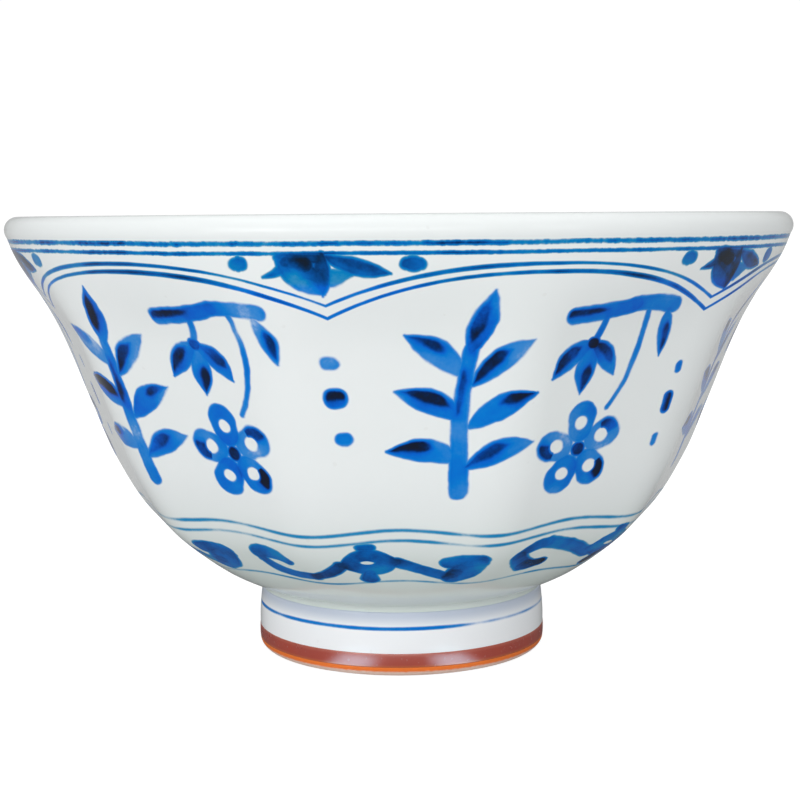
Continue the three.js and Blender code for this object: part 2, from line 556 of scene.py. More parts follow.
def build_stroke_group():
    """One loaded brush stroke, laid over the ink that is already there. Lengths are millimetres."""
    desk, given, result = new_group(
        "Brush Stroke",
        [
            ("Ink", "Float", 0.0),
            ("Point", "Vector", (0, 0, 0)),
            ("Start", "Vector", (0, 0, 0)),
            ("End", "Vector", (1, 0, 0)),
            ("Bow", "Float", 0.0),
            ("Start Width", "Float", 1.0),
            ("End Width", "Float", 1.0),
            ("Belly", "Float", 0.0),
            ("Load", "Float", 0.6),
            ("Pool", "Float", 0.0),
            ("Pool Place", "Float", 0.0),
            ("Pool Length", "Float", 0.4),
            ("Pool Side", "Float", 1.0),
            ("Fade", "Float", 0.0),
            ("Cloud", "Float", 0.0),
            ("Edge", "Float", 0.22),
        ],
        [("Ink", "Float")],
    )
    stroke = desk.vector("SUBTRACT", given["End"], given["Start"])
    reached = desk.vector("SUBTRACT", given["Point"], given["Start"])
    square = desk.vector("DOT_PRODUCT", stroke, stroke)
    place = desk.math("DIVIDE", desk.vector("DOT_PRODUCT", reached, stroke), square, clamp=True)
    rest = desk.math("SUBTRACT", 1.0, place)
    middle = desk.math("MULTIPLY", desk.math("MULTIPLY", place, rest), 4.0)
    across = desk.vector("NORMALIZE", desk.vector("CROSS_PRODUCT", (0, 0, 1), stroke))
    swing = desk.vector("SCALE", across, desk.math("MULTIPLY", middle, given["Bow"]))
    spine = desk.vector("ADD", desk.vector("SCALE", stroke, place), swing)
    beside = desk.vector("SUBTRACT", reached, spine)
    straight = desk.math(
        "ADD",
        desk.math("MULTIPLY", given["Start Width"], rest),
        desk.math("MULTIPLY", given["End Width"], place),
    )
    half_width = desk.math("MULTIPLY_ADD", middle, given["Belly"], straight)
    depth = desk.math("SUBTRACT", half_width, desk.vector("LENGTH", beside))
    cover = desk.smooth(depth, desk.math("MULTIPLY", given["Edge"], -1.0), given["Edge"])
    # The pool is a drop of thicker ink, to one side of the spine.
    off_pool = desk.math("ABSOLUTE", desk.math("SUBTRACT", place, given["Pool Place"]))
    near = desk.math("SUBTRACT", 1.0, desk.math("DIVIDE", off_pool, given["Pool Length"]), clamp=True)
    pool_width = desk.math("MULTIPLY", half_width, desk.smooth(near, 0.0, 0.7, 0.1, 0.6))
    pool_middle = desk.math("MULTIPLY", half_width, desk.math("MULTIPLY", given["Pool Side"], 0.3))
    off_middle = desk.math("SUBTRACT", desk.vector("DOT_PRODUCT", beside, across), pool_middle)
    pool_depth = desk.math("SUBTRACT", pool_width, desk.math("ABSOLUTE", off_middle))
    pool_depth = desk.math("MULTIPLY_ADD", given["Cloud"], 0.8, pool_depth)
    inside = desk.math("MULTIPLY", desk.smooth(depth, 0.05, 0.5), desk.smooth(near, 0.0, 0.45))
    halo = desk.smooth(pool_depth, -0.9, 0.3, 0.0, 0.28)
    core = desk.math("ADD", desk.smooth(pool_depth, -0.2, 0.42, 0.0, 0.72), halo)
    pool = desk.math("MULTIPLY", desk.math("MULTIPLY", inside, core), given["Pool"])
    # Ink gathers a little along the stroke's edge.
    gathered = desk.smooth(depth, 0.1, 0.45, 1.18, 1.0)
    faded = desk.math("MULTIPLY_ADD", desk.math("MULTIPLY", place, given["Fade"]), -1.0, 1.0)
    load = desk.math("MULTIPLY", desk.math("MULTIPLY", given["Load"], faded), gathered)
    laid = desk.math("MULTIPLY_ADD", cover, load, pool)
    most = desk.math("MAXIMUM", laid, given["Ink"])
    least = desk.math("MINIMUM", laid, given["Ink"])
    desk.feed(result["Ink"], desk.math("MULTIPLY_ADD", least, 0.12, most))


def build_line_group():
    """One thin line, drawn where a distance crosses nought. Lengths are millimetres."""
    desk, given, result = new_group(
        "Brush Line",
        [
            ("Ink", "Float", 0.0),
            ("Distance", "Float", 0.0),
            ("Width", "Float", 0.25),
            ("Load", "Float", 0.6),
            ("Edge", "Float", 0.15),
        ],
        [("Ink", "Float")],
    )
    depth = desk.math("SUBTRACT", given["Width"], desk.math("ABSOLUTE", given["Distance"]))
    cover = desk.smooth(depth, desk.math("MULTIPLY", given["Edge"], -1.0), given["Edge"])
    laid = desk.math("MULTIPLY", cover, given["Load"])
    most = desk.math("MAXIMUM", laid, given["Ink"])
    least = desk.math("MINIMUM", laid, given["Ink"])
    desk.feed(result["Ink"], desk.math("MULTIPLY_ADD", least, 0.3, most))


def build_wipe_group():
    """A spot of the wall that the brush left white, an ellipse. Lengths are millimetres."""
    desk, given, result = new_group(
        "White Spot",
        [
            ("Ink", "Float", 0.0),
            ("Point", "Vector", (0, 0, 0)),
            ("Centre", "Vector", (0, 0, 0)),
            ("Half Size", "Vector", (1, 1, 1)),
        ],
        [("Ink", "Float")],
    )
    offset = desk.vector("SUBTRACT", given["Point"], given["Centre"])
    distance = desk.vector("LENGTH", desk.vector("DIVIDE", offset, given["Half Size"]))
    kept = desk.smooth(distance, 0.7, 1.3, 0.04, 1.0)
    desk.feed(result["Ink"], desk.math("MULTIPLY", given["Ink"], kept))


def build_cobalt_group():
    """Colour of cobalt under the glaze, from the pale wash of little ink to the black of pools."""
    desk, given, result = new_group(
        "Cobalt",
        [
            ("Ink", "Float", 0.0),
            ("Ground", "Color", (0.8, 0.8, 0.8, 1)),
            ("Tone", "Color", (1, 1, 1, 1)),
            ("Position", "Vector", (0, 0, 0)),
        ],
        [("Color", "Color")],
    )
    wash = desk.noise(given["Position"], 170.0, detail=1.0)
    cloud = desk.noise(given["Position"], 480.0, detail=3.0)
    grain = desk.noise(given["Position"], 2600.0, detail=1.0)
    uneven = desk.math("MULTIPLY_ADD", cloud, 0.6, desk.math("MULTIPLY", grain, 0.2))
    uneven = desk.math("MULTIPLY_ADD", wash, 1.9, uneven)
    ink = desk.math("MULTIPLY", given["Ink"], desk.math("ADD", uneven, -0.36))
    tones = desk.node("ShaderNodeValToRGB", {"Fac": desk.math("DIVIDE", ink, 1.6)})
    # From the palest wash to the blackest pool.
    shades = (
        (0.0, (0.3, 0.45, 0.7)),
        (0.15, (0.055, 0.26, 0.63)),
        (0.3, (0.0, 0.185, 0.62)),
        (0.45, (0.0, 0.11, 0.58)),
        (0.6, (0.0, 0.055, 0.33)),
        (0.74, (0.0, 0.025, 0.13)),
        (0.88, (0.003, 0.012, 0.045)),
        (1.0, (0.006, 0.01, 0.025)),
    )
    elements = tones.color_ramp.elements
    while len(elements) < len(shades):
        elements.new(0.5)
    for element, (place, colour) in zip(elements, shades):
        element.position = place
        element.color = rgba(colour)
    toned = desk.vector("MULTIPLY", tones.outputs["Color"], given["Tone"])
    cover = desk.smooth(ink, 0.02, 0.32)
    desk.feed(result["Color"], desk.mix(cover, given["Ground"], toned))


def build_glaze_group():
    """Clear glaze over porcelain: its tint with painted shade, laid in by a given share, its faint ripple and
    its specks.
    """
    desk, given, result = new_group(
        "Clear Glaze",
        [
            ("White", "Color", (0.8, 0.83, 0.83, 1)),
            ("Tint And Shade", "Color", (0.6, 0.68, 0.64, 1)),
            ("Tint And Shade Share", "Float", 0.0),
            ("Position", "Vector", (0, 0, 0)),
            ("Roughness", "Float", 0.1),
        ],
        [("Color", "Color"), ("Roughness", "Float"), ("Height", "Float")],
    )
    drift = desk.noise(given["Position"], 28.0, detail=2.0)
    # The share of tint, with its painted shade, and a little drift.
    thick = desk.math("ADD", given["Tint And Shade Share"], desk.math("MULTIPLY_ADD", drift, 0.24, -0.06), clamp=True)
    tint_and_shade_laid = desk.mix(thick, given["White"], given["Tint And Shade"])
    speck = desk.smooth(desk.noise(given["Position"], 900.0, detail=0.0), 0.84, 0.88)
    desk.feed(result["Color"], desk.mix(desk.math("MULTIPLY", speck, 0.06), tint_and_shade_laid, (0.35, 0.3, 0.24)))
    ripple = desk.noise(given["Position"], 130.0, detail=2.0)
    peel = desk.noise(given["Position"], 700.0, detail=1.0)
    desk.feed(result["Roughness"], desk.math("MULTIPLY_ADD", peel, 0.08, given["Roughness"]))
    desk.feed(result["Height"], desk.math("MULTIPLY_ADD", ripple, 1.0, desk.math("MULTIPLY", peel, 0.12)))


def build_shared_groups():
    for build in (
        build_stroke_group,
        build_line_group,
        build_wipe_group,
        build_cobalt_group,
        build_glaze_group,
    ):
        build()


# ---- the painting: strokes in (degrees from the middle of their frame, millimetres of climb) ----


@dataclass
class Stroke:
    """One brush stroke. Widths are half widths, in millimetres."""

    start: tuple
    end: tuple
    widths: tuple = (1.0, 1.0)
    belly: float = 0.0
    bow: float = 0.0
    load: float = 0.6
    pool: float = 0.0
    pool_place: float = 0.0
    pool_length: float = 0.4
    pool_side: float = 1.0
    fade: float = 0.0
    edge: float = 0.37

    def span(self):
        """Lowest and highest climb that the stroke reaches."""
        margin = max(self.widths) + self.belly + abs(self.bow) + 1.2
        climbs_of_ends = (self.start[1], self.end[1])
        return min(climbs_of_ends) - margin, max(climbs_of_ends) + margin


@dataclass
class WhiteSpot:
    """A spot inside the strokes that stays white."""

    centre: tuple
    half_size: tuple

    def span(self):
        margin = self.half_size[1] * 1.4 + 1.0
        return self.centre[1] - margin, self.centre[1] + margin


def dot(degrees, climb, tall, wide, load=0.5, pool=0.0):
    """A dab of the brush, with its two half sizes in millimetres."""
    size = min(tall, wide)
    reach, rise = (wide - size) * DEGREES_PER_MM, tall - size
    start, end = (degrees - reach, climb + rise), (degrees + reach + 0.1, climb - rise)
    return Stroke(start, end, (size, size), load=load, pool=pool, pool_length=2.0)


def leaf(start, end, belly, bow=0.0, load=0.5, pool=0.75, place=0.8, length=0.45, side=1.0, fade=0.0):
    """A pointed leaf, pressed full in its middle and lifted at its tip."""
    return Stroke(start, end, (0.35, 0.1), belly, bow, load, pool, place, length, side, fade)


def stem(start, end, widths, bow, load, pool=0.0, place=0.0, length=0.4):
    """A stem or twig, drawn with an even pressure."""
    return Stroke(start, end, widths, 0.0, bow, load, pool, place, length)


def dots_of_post():
    """The column of three dots between two panels, as on every other post."""
    return [
        dot(-0.1, 43.0, 0.75, 1.0, load=0.42),
        dot(0.2, 38.9, 1.2, 1.25, load=0.6, pool=0.85),
        dot(0.9, 33.9, 0.75, 0.95, load=0.42),
    ]


def narrow_dots_of_post():
    """The same three dots on the posts between, drawn with the tip of the brush."""
    return [
        dot(-1.3, 41.1, 0.8, 0.4, load=0.5),
        dot(-1.3, 36.6, 1.4, 0.65, load=0.8, pool=0.5),
        dot(-1.4, 31.7, 0.8, 0.4, load=0.5),
    ]


def pendant_of_post():
    """The flower that hangs from the border into each point of the ogee line, and its two dots."""
    return [
        Stroke((1.8, 53.0), (4.5, 53.6), (1.05, 0.35), load=0.5),
        Stroke((-4.7, 55.5), (0.6, 51.2), (0.35, 0.2), belly=0.95, bow=-0.35, load=0.8),
        Stroke((-4.4, 55.6), (0.3, 55.2), (0.4, 0.6), load=0.85),
        Stroke((-2.6, 54.6), (0.3, 53.0), (1.1, 0.8), load=0.85),
        Stroke((-3.6, 55.0), (-1.4, 54.6), (0.75, 1.0), load=1.15, edge=0.55),
        Stroke((0.9, 55.6), (0.5, 50.9), (0.35, 0.05), belly=0.75, load=0.84, pool=0.15, pool_place=0.6),
        Stroke((-4.0, 54.4), (-6.8, 53.4), (0.7, 0.05), bow=0.15, load=0.8),
        Stroke(
            (1.5, 55.3), (8.9, 53.5), (0.3, 0.05), belly=0.75, bow=-0.2, load=0.8, pool=0.2, pool_place=0.5
        ),
        Stroke((-10.3, 54.7), (-9.5, 54.7), (0.72, 0.72), belly=0.14, load=0.74),
        Stroke((10.8, 54.6), (12.4, 54.6), (0.64, 0.64), belly=0.22, load=0.72),
    ]


def knot_of_post():
    """The knot of the lower band, and on its right a tendril that ends in a curled leaf."""
    return [
        Stroke((-2.6, 15.4), (8.8, 16.1), (0.75, 0.75), belly=2.05, load=0.82, edge=0.4),
        Stroke((1.6, 18.8), (3.9, 18.8), (0.5, 0.5), load=0.84),
        Stroke((2.75, 18.6), (2.75, 17.4), (0.75, 1.2), load=0.8),
        Stroke((2.9, 13.4), (2.6, 11.8), (0.85, 1.1), load=1.0),
        WhiteSpot((2.7, 15.9), (0.85, 0.36)),
        Stroke((9.0, 15.9), (21.0, 12.3), (1.05, 1.05), load=0.76),
        Stroke((21.2, 12.1), (26.2, 15.8), (1.25, 1.15), belly=0.6, load=0.84, pool=0.3, pool_place=0.2),
        Stroke((19.8, 15.9), (26.6, 16.5), (1.15, 0.9), belly=0.3, load=0.82),
    ]


def crook_of_post():
    """The thin tendril on the knot's left, which ends in a crook."""
    return [
        Stroke((-3.0, 15.2), (-9.9, 12.2), (0.95, 0.85), bow=0.4, load=0.76),
        Stroke((-9.9, 12.2), (-20.8, 15.5), (0.95, 0.7), bow=1.1, load=0.66),
        Stroke((-20.8, 15.4), (-20.4, 17.1), (0.6, 1.1), bow=0.25, load=0.7),
        Stroke((-20.4, 17.0), (-14.5, 15.3), (1.45, 0.5), bow=0.5, load=0.8),
    ]


def arch_of_post():
    """The broad tendril of the posts between, which arches over and curls in on itself."""
    return [
        Stroke((-1.6, 14.2), (-17.0, 18.2), (0.95, 1.0), bow=-0.6, load=0.74),
        Stroke((-17.0, 18.2), (-23.6, 16.2), (1.0, 0.95), bow=-0.55, load=0.76),
        Stroke((-23.6, 16.2), (-19.8, 13.7), (0.95, 1.35), bow=-0.2, load=0.84),
        Stroke((-19.8, 13.7), (-15.6, 14.0), (1.35, 0.95), bow=-0.15, load=0.95),
    ]


def sprig_of_panel():
    """The leafy sprig on the left of a panel."""
    return [
        stem((-9.9, 27.0), (-9.4, 45.0), (1.05, 0.7), 0.5, load=0.5, pool=0.55, place=0.7, length=0.2),
        leaf((-9.4, 44.4), (-7.7, 51.6), 1.2, load=0.56, pool=0.8, place=0.55),
        leaf((-10.0, 41.6), (-18.4, 46.4), 1.15, -0.5, load=0.34, side=-1.0, fade=-0.6),
        leaf((-8.8, 40.6), (-1.2, 45.8), 1.15, 0.5, load=0.4, pool=0.75, place=0.3, fade=0.35),
        leaf((-10.0, 36.4), (-19.8, 39.6), 1.2, -0.6, load=0.54, pool=0.85, place=0.6, length=0.5, side=-1.0),
        leaf((-8.8, 35.4), (0.4, 39.4), 1.2, 0.6, load=0.5, place=0.85),
        leaf((-10.2, 31.2), (-21.2, 32.4), 1.2, -0.7, load=0.42, pool=0.75, place=0.75, side=-1.0, fade=-0.3),
        leaf((-9.0, 30.2), (1.2, 33.2), 1.2, 0.7, load=0.54, pool=0.5, place=0.3, fade=0.45),
    ]


def round_flower(middle):
    """Five round petals, each with a white heart, about a dark middle."""
    inks = ((0.5, 0.0), (0.4, 0.9), (0.56, 0.0), (0.5, 1.0), (0.36, 0.7))  # load and pool of each petal
    strokes = []
    for i, (load, pool) in enumerate(inks):
        turned = 8 + 360 * i // len(inks)
        inner, heart, outer = (from_flower(middle, turned, distance) for distance in (2.7, 3.4, 4.1))
        strokes.append(Stroke(inner, outer, (1.8, 2.0), load=load, pool=pool, pool_place=0.9, pool_side=1.6))
        strokes.append(WhiteSpot(heart, (0.95, 0.9)))
    return [*strokes, dot(*middle, 0.85, 0.85, load=1.1)]


def from_flower(middle, turned, distance):
    """A place at a distance from a flower's middle. Turns are degrees from straight up, anticlockwise."""
    angle = math.radians(turned)
    across, up = -math.sin(angle) * distance, math.cos(angle) * distance
    return (middle[0] + across * DEGREES_PER_MM, middle[1] + up)


def branch_of_panel():
    """The branch on the right of a panel, with a hanging bell and a round flower under it."""
    return [
        stem((3.8, 48.3), (14.0, 49.6), (1.0, 0.85), -0.2, load=0.54, pool=0.85, place=0.15, length=0.5),
        stem((14.0, 49.6), (21.2, 49.2), (0.85, 0.95), 0.2, load=0.48),
        leaf((20.4, 48.4), (22.6, 42.8), 0.8, 0.3, load=0.4, pool=0.7, place=0.6),
        stem((16.6, 48.6), (14.6, 36.6), (0.4, 0.3), 1.3, load=0.42),
        stem((9.4, 48.6), (8.6, 45.2), (0.4, 0.4), 0.2, load=0.5),
        leaf((8.4, 45.0), (2.6, 40.9), 1.1, -0.5, load=0.52, pool=0.9, place=0.6, side=-1.0),
        leaf((8.5, 45.0), (8.2, 38.7), 1.2, load=0.4, pool=0.6, place=0.8),
        leaf((8.6, 45.0), (14.2, 40.7), 1.1, 0.5, load=0.5, pool=0.5, place=0.4),
        dot(8.5, 44.9, 0.7, 0.8, load=1.0),
        *round_flower((10.8, 31.6)),
    ]


def point_on_wall(outline, place):
    """A stroke's end in millimetres: across from the middle of its frame, and up the wall."""
    degrees, climb = place
    radius = outline.radius_at_climb(climb * MM) / MM
    return (math.radians(degrees) * radius, climb, 0.0)


class Wall:
    """Where a shaded point lies on the painted wall, for one material's brushwork."""

    def __init__(self, desk, outline):
        self.desk = desk
        self.outline = outline
        self.position = desk.object_position()
        place = desk.split(desk.node("ShaderNodeUVMap", uv_map=PAINTING).outputs[0])
        wander = self.wander(75.0, 0.8)
        shiver = self.wander(560.0, 0.4)
        moved = desk.split(desk.vector("ADD", wander, shiver))
        self.climb = desk.math("MULTIPLY_ADD", place["Y"], CLIMB_UNIT, moved["Y"])
        # Lines are drawn against a turning wheel, with a steadier hand than strokes.
        steady = desk.vector("ADD", desk.vector("SCALE", wander, 0.35), desk.vector("SCALE", shiver, 0.12))
        self.steady_climb = desk.math("MULTIPLY_ADD", place["Y"], CLIMB_UNIT, desk.split(steady)["Y"])
        self.turn = desk.math("MULTIPLY", place["X"], 360.0)
        self.radians_to_mm = desk.math("DIVIDE", desk.girth(self.position), MM)
        self.sideways = moved["X"]
        self.cloud = desk.math("SUBTRACT", desk.noise(self.position, 260.0, detail=2.0), 0.5)

    def wander(self, scale, size):
        """An unsteady hand: a sideways drift of up to about half a size, in millimetres."""
        colour = self.desk.noise(self.position, scale, detail=1.0, colour=True)
        return self.desk.vector("SCALE", self.desk.vector("SUBTRACT", colour, (0.5, 0.5, 0.5)), size)

    def folded(self, middle, period=PERIOD):
        """Degrees from the nearest repeat of a middle."""
        turned = self.desk.math("SUBTRACT", self.turn, middle)
        return self.desk.math("WRAP", turned, period / 2, -period / 2)

    def point(self, degrees):
        """The shaded point in a stroke's frame, in millimetres, at its degrees from the frame's middle."""
        radians = self.desk.math("MULTIPLY", degrees, math.pi / 180)
        across = self.desk.math("MULTIPLY_ADD", radians, self.radians_to_mm, self.sideways)
        return self.desk.join(across, self.climb)


def paint_strokes(wall, ink, point, strokes, zone):
    """Lays the strokes that reach a zone, one over another."""
    desk = wall.desk
    for stroke in strokes:
        low, high = stroke.span()
        if high < zone[0] or low > zone[1]:
            continue
        if isinstance(stroke, WhiteSpot):
            half_size = (*stroke.half_size, 1.0)
            centre = point_on_wall(wall.outline, stroke.centre)
            values = {"Ink": ink, "Point": point, "Centre": centre, "Half Size": half_size}
            ink = use_group(desk, "White Spot", values)["Ink"]
            continue
        values = {
            "Ink": ink,
            "Point": point,
            "Start": point_on_wall(wall.outline, stroke.start),
            "End": point_on_wall(wall.outline, stroke.end),
            "Bow": stroke.bow,
            "Start Width": stroke.widths[0],
            "End Width": stroke.widths[1],
            "Belly": stroke.belly,
            "Load": stroke.load,
            "Pool": stroke.pool,
            "Pool Place": stroke.pool_place,
            "Pool Length": stroke.pool_length,
            "Pool Side": stroke.pool_side,
            "Fade": stroke.fade,
            "Cloud": wall.cloud,
            "Edge": stroke.edge,
        }
        ink = use_group(desk, "Brush Stroke", values)["Ink"]
    return ink


def paint_line(wall, ink, climb, width, load, edge=0.2):
    """Lays one line at a climb that may change round the cup."""
    distance = wall.desk.math("SUBTRACT", wall.steady_climb, climb)
    values = {"Ink": ink, "Distance": distance, "Width": width, "Load": load, "Edge": edge}
    return use_group(wall.desk, "Brush Line", values)["Ink"]


def paint_border_lines(wall, ink):
    """Two ragged lines under the lip, and the two ogee lines with a point at every post."""
    desk = wall.desk
    tremble = desk.noise(wall.position, 1500.0, detail=2.0)
    fade = desk.noise(wall.position, 60.0, detail=2.0)
    ragged = desk.math("MULTIPLY_ADD", tremble, 0.18, 0.12)
    load = desk.math("MULTIPLY_ADD", fade, 0.7, desk.math("MULTIPLY_ADD", tremble, 0.7, 0.05))
    ink = paint_line(wall, ink, BORDER_CLIMBS[0], ragged, load, 0.26)
    ink = paint_line(wall, ink, BORDER_CLIMBS[1], desk.math("MULTIPLY_ADD", tremble, 0.2, 0.06), 0.8, 0.22)
    off_first_post = desk.math("SUBTRACT", wall.turn, POST_ANGLE)
    round_cup = desk.math("SINE", desk.math("MULTIPLY", off_first_post, math.pi / 180))
    off_post = wall.folded(desk.math("MULTIPLY_ADD", round_cup, -OGEE_CREEP, POST_ANGLE + OGEE_LEAN))
    share = desk.math("DIVIDE", desk.math("ABSOLUTE", off_post), PERIOD / 2, clamp=True)
    near_post = desk.math("POWER", desk.math("SUBTRACT", 1.0, share), OGEE_SHARPNESS)
    sway = desk.math("SINE", desk.math("MULTIPLY", off_post, 2 * math.pi / PERIOD))
    pressure = desk.math("MULTIPLY_ADD", fade, 0.18, 0.04)
    presses = ((0.04, 0.03, 0.82), (-0.06, 0.06, 0.9))  # sway, extra width and load of each line
    for climb, drop, (swayed, wider, load) in zip(OGEE_CLIMBS, OGEE_DROPS, presses):
        ogee = desk.math("MULTIPLY_ADD", near_post, -drop, climb)
        width = desk.math("MULTIPLY_ADD", sway, swayed, desk.math("ADD", pressure, wider))
        ink = paint_line(wall, ink, ogee, width, load)
    return ink


def paint_band_lines(wall, ink):
    """The pair of lines over the scroll, which dip at the bowl's edges, and one line under it."""
    desk = wall.desk
    sides = desk.math("COSINE", desk.math("MULTIPLY", wall.turn, math.radians(10.0)))
    for climb, load in zip(BAND_CLIMBS, (0.4, 0.36)):
        wave = desk.math("MULTIPLY_ADD", sides, 0.5, climb)
        ink = paint_line(wall, ink, wave, 0.24, load, 0.34)
    return paint_line(wall, ink, desk.math("MULTIPLY_ADD", sides, 0.6, BAND_FOOT_CLIMB), 0.3, 0.28, 0.35)


def paint_zone(desk, outline, zone):
    """All the ink that reaches one zone of the wall. Returns the ink and its tone."""
    wall = Wall(desk, outline)
    ink = 0.0
    low, high = zone
    if high > LOWEST_BORDER_INK:
        ink = paint_border_lines(wall, ink)
    if low < HIGHEST_BAND_INK:
        ink = paint_band_lines(wall, ink)
    layers = (
        (POST_ANGLE, PERIOD, pendant_of_post() + knot_of_post()),
        (POST_ANGLE, 2 * PERIOD, dots_of_post() + crook_of_post()),
        (POST_ANGLE + PERIOD, 2 * PERIOD, narrow_dots_of_post() + arch_of_post()),
        (PANEL_ANGLE, PERIOD, sprig_of_panel() + branch_of_panel()),
    )
    for middle, period, strokes in layers:
        ink = paint_strokes(wall, ink, wall.point(wall.folded(middle, period)), strokes, zone)
    edging = desk.math("ADD", desk.smooth(wall.climb, 51.8, 52.8), desk.smooth(wall.climb, 24.0, 23.0))
    return ink, desk.mix(edging, (1.0, 1.0, 1.0), EDGING_TONE)


# ---- materials ----


def new_material(name):
    """An empty material: itself, its desk and its principled shader."""
    material = bpy.data.materials.new(name)
    material.use_nodes = True
    material.node_tree.nodes.clear()
    desk = Desk(material.node_tree)
    shader = desk.node("ShaderNodeBsdfPrincipled")
    output = desk.node("ShaderNodeOutputMaterial")
    desk.feed(output.inputs["Surface"], shader.outputs["BSDF"])
    return material, desk, shader


def finish_glaze(desk, shader, colour, roughness, height):
    """Wires a glaze's colour, gloss and ripple into the shader."""
    desk.feed(shader.inputs["Base Color"], colour)
    desk.feed(shader.inputs["Roughness"], roughness)
    relief = desk.node("ShaderNodeBump", {"Height": height, "Distance": RIPPLE, "Strength": 0.5})
    desk.feed(shader.inputs["Normal"], relief.outputs["Normal"])


def clear_glaze(desk, shader, position, white, tinted_and_shaded, tint_and_shade_share):
    """Lays clear glaze over porcelain, tinted and painted darker as painted shade by a given share, and
    returns its colour, roughness and relief.
    """
    shader.inputs["Specular IOR Level"].default_value = 0.2
    values = {
        "White": rgba(white),
        "Tint And Shade": rgba(tinted_and_shaded),
        "Tint And Shade Share": tint_and_shade_share,
        "Position": position,
        "Roughness": 0.07,
    }
    glaze = use_group(desk, "Clear Glaze", values)
    return glaze["Color"], glaze["Roughness"], glaze["Height"]


def porcelain(name, settings, pooled_shade_from, pooled_shade_to, paint=None):
    """Glazed porcelain. The clear glaze pools, greenish, between two heights above the table, and is painted
    darker there as painted shade, most at the lower height.
    """
    material, desk, shader = new_material(name)
    position = desk.object_position()
    # Painted shade: greener and darker towards the bottom, fading out at the upper height.
    tint_and_shade_share = desk.smooth(desk.split(position)["Z"], pooled_shade_from, pooled_shade_to, 0.75, 0.0)
    colour, roughness, relief = clear_glaze(desk, shader, position, settings.white, settings.tinted_and_shaded, tint_and_shade_share)
    if paint:
        ink, tone = paint(desk)
        painted = {"Ink": ink, "Ground": colour, "Tone": tone, "Position": position}
        colour = use_group(desk, "Cobalt", painted)["Color"]
    finish_glaze(desk, shader, colour, roughness, relief)
    return material


def foot_porcelain(settings, foot):
    """The ring's glaze, with one cobalt line round it, and the toasted clay that it stands on. Its white is
    painted lighter as painted light, and above the line the glaze is hazed with cobalt and painted darker as
    painted shadow under the bowl.
    """
    material, desk, shader = new_material("Foot porcelain")
    position = desk.object_position()
    height = desk.split(position)["Z"]
    # Painted shadow: above the cobalt line the glaze is hazed bluish and painted darker, where the bowl
    # overhead shades the ring.
    haze_and_shadow = desk.smooth(height, 5.8 * MM, 7.8 * MM, 0.0, 0.85)
    # Painted light: the ring's porcelain takes the lighter, lit white.
    glazed, gloss, relief = clear_glaze(desk, shader, position, settings.lit_ring_white, settings.hazed_and_shadowed, haze_and_shadow)
    height_mm = desk.math("DIVIDE", height, MM)
    ink = paint_foot_line(desk, position, height_mm, foot)
    painted = use_group(desk, "Cobalt", {"Ink": ink, "Ground": glazed, "Position": position})
    grit = desk.noise(position, 1400.0, detail=3.0)
    wiped = desk.math("ADD", height_mm, desk.math("MULTIPLY_ADD", grit, 0.25, -0.12))
    bare = desk.smooth(wiped, 1.3, 1.5, 1.0, 0.0)
    standing = desk.smooth(wiped, 0.55, 0.85, 1.0, 0.0)
    clay = desk.mix(standing, rgba(settings.toasted), rgba(settings.bare))
    clay = desk.mix(desk.math("MULTIPLY", grit, 0.2), clay, (0.35, 0.12, 0.05))
    colour = desk.mix(bare, painted["Color"], clay)
    rough = desk.math("MULTIPLY", desk.math("MULTIPLY", grit, bare), 1.4)
    finish_glaze(desk, shader, colour, desk.blend(bare, gloss, 0.55), desk.math("ADD", relief, rough))
    return material


def paint_foot_line(desk, position, height_mm, foot):
    """The one line round the ring, pressed harder on the left and in front than on the right."""
    line_height = desk.math("MULTIPLY_ADD", desk.noise(position, 40.0, detail=1.0), 0.3, 5.92)
    turned = desk.degrees_round(position)
    lifted = desk.smooth(turned, 16.0, 34.0, 1.0, 0.42)
    press = desk.math("MULTIPLY", lifted, desk.smooth(turned, -178.0, -150.0, 0.42, 1.0))
    line = {
        "Distance": desk.math("SUBTRACT", height_mm, line_height),
        "Width": 0.18,
        "Load": desk.math("MULTIPLY", press, 0.56),
        "Edge": 0.22,
    }
    ink = use_group(desk, "Brush Line", line)["Ink"]
    outside = desk.smooth(desk.girth(position), foot.radius - 1.4 * MM, foot.radius - 1.0 * MM)
    return desk.math("MULTIPLY", ink, outside)


def iron_glaze(settings):
    """Red-brown iron glaze, redder and thinner at its upper edge, with fine crystals."""
    material, desk, shader = new_material("Iron glaze")
    position = desk.object_position()
    height = desk.split(position)["Z"]
    streak = desk.noise(position, 260.0, detail=4.0)
    thin = desk.smooth(height, band_high[2] - 0.55 * MM, band_high[2] + 0.05 * MM)
    ground = desk.mix(streak, rgba(settings.iron), (0.36, 0.06, 0.045))
    colour = desk.mix(desk.math("MULTIPLY", thin, 0.6), ground, (0.55, 0.15, 0.1))
    low = desk.smooth(height, band_low[2] + 0.45 * MM, band_low[2] - 0.05 * MM)
    colour = desk.mix(desk.math("MULTIPLY", low, 0.6), colour, (0.55, 0.16, 0.04))
    crystal = desk.smooth(desk.noise(position, 2200.0, detail=2.0), 0.62, 0.78)
    colour = desk.mix(desk.math("MULTIPLY", crystal, 0.3), colour, (0.45, 0.3, 0.28))
    shader.inputs["IOR"].default_value = 1.9
    finish_glaze(desk, shader, colour, desk.math("MULTIPLY_ADD", streak, 0.12, 0.2), streak)
    return material


# ---- pieces ----


def painted_zones(outline):
    """The wall's zones from foot to lip, in millimetres of climb. Each has a material of its own."""
    top = outline.climbs[-1] / MM
    return ((0.0, 23.5), (23.5, 36.0), (36.0, 47.5), (47.5, top))


